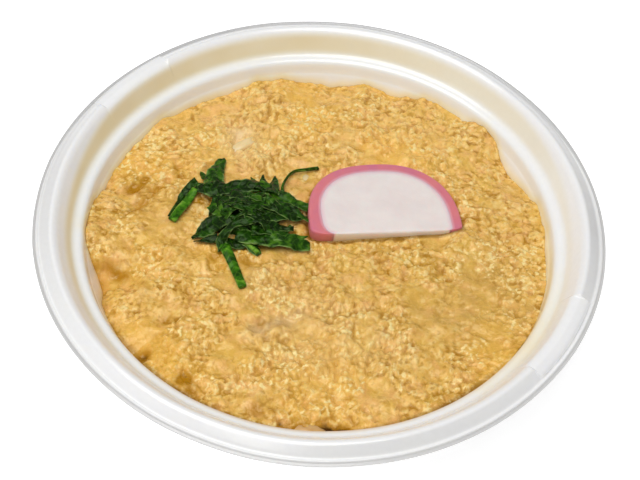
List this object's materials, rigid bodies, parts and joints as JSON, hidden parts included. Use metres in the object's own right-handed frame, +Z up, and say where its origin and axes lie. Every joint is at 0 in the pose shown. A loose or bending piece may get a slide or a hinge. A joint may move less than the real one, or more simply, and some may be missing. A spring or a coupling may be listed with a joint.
{
  "type": "bowl of egg ankake udon",
  "caption": "Round white foam bowl filled with udon noodles under a thick egg sauce, topped with a pink-edged fish cake slice and a heap of chopped leafy greens.",
  "frame": {"origin": "centre of the bowl's base, on the surface that it stands on", "axes": "+Z up, +X to the right as the bowl is seen with the fish cake on the right, +Y to its far side"},
  "size_m": [0.19, 0.19, 0.0626],
  "materials": {
    "foam": "smooth white foamed plastic with a faint pearly sheen",
    "egg_sauce": "thick wet sauce full of fine cooked egg curds",
    "fish_cake_white": "smooth moist cut face",
    "fish_cake_pink": "smooth moist pink layer",
    "greens": "wet cooked leaves, dark with lighter stems",
    "noodle": "smooth wet wheat noodle"
  },
  "bodies": {
    "root": {"bowl": "foam", "egg_ankake": "egg_sauce", "kamaboko_white": "fish_cake_white", "kamaboko_pink": "fish_cake_pink", "greens": "greens", "udon_noodle_front": "noodle", "udon_noodle_near": "noodle", "udon_noodle_far": "noodle", "udon_noodle_middle": "noodle"}
  },
  "joints": []
}
